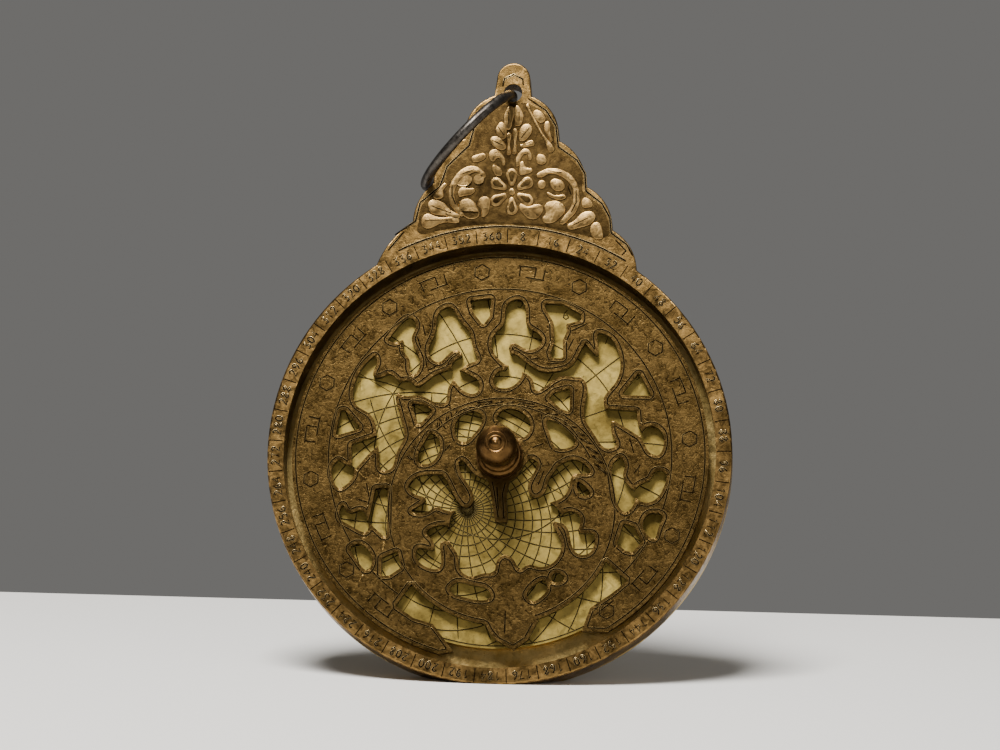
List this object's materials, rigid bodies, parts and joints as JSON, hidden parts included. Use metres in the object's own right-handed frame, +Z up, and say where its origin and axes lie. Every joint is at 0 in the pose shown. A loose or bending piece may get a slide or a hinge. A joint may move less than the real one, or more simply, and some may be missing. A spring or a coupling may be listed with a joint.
{
  "type": "planispheric astrolabe",
  "caption": "Brass astrolabe: lobed throne with hanging ring, pierced rete turning over a stack of plates, knob-headed axis bolt and a sighting alidade on the back.",
  "frame": {"origin": "centre of the disc, on the front face of the rim", "axes": "+X right as the front is seen, +Y from the front to the back, +Z up to the hanging ring"},
  "size_m": [0.12, 0.0376, 0.165],
  "materials": {
    "cast_brass": "satin antique cast brass, worn bright on the edges",
    "plate_brass": "pale smooth sheet brass",
    "rete_brass": "dark olive-brown patinated sheet brass, finely pitted",
    "bronze": "turned bronze with a brown satin patina",
    "alidade_brass": "satin antique brass",
    "rivet_brass": "filed brass",
    "ring_iron": "dark hand-worn iron wire"
  },
  "bodies": {
    "mater": {"limb_and_throne": "cast_brass", "back_plate": "cast_brass", "rim_rivets": "rivet_brass", "locating_peg": "rivet_brass", "bottom_latitude_plate": "plate_brass", "lower_latitude_plate": "plate_brass", "upper_latitude_plate": "plate_brass", "top_latitude_plate": "plate_brass"},
    "rete": {"rete": "rete_brass"},
    "axis": {"axis_bolt": "bronze", "front_washer": "bronze", "back_washer": "bronze", "knob": "bronze"},
    "alidade": {"alidade_bar": "alidade_brass", "left_sighting_vane": "alidade_brass", "right_sighting_vane": "alidade_brass", "vane_rivets": "rivet_brass"},
    "ring": {"suspension_ring": "ring_iron"}
  },
  "joints": [
    {"name": "rete_spin", "type": "hinge", "parent": "mater", "child": "rete", "pos_m": [0, 0, 0], "axis": [0, 1, 0], "continuous": true},
    {"name": "alidade_spin", "type": "hinge", "parent": "mater", "child": "alidade", "pos_m": [0, 0, 0], "axis": [0, 1, 0], "continuous": true},
    {"name": "axis_turn", "type": "hinge", "parent": "mater", "child": "axis", "pos_m": [0, 0, 0], "axis": [0, 1, 0], "continuous": true},
    {"name": "ring_swing", "type": "hinge", "parent": "mater", "child": "ring", "pos_m": [0, 0.003, 0.0968], "axis": [0, 1, 0], "range_deg": [0, 274]}
  ]
}
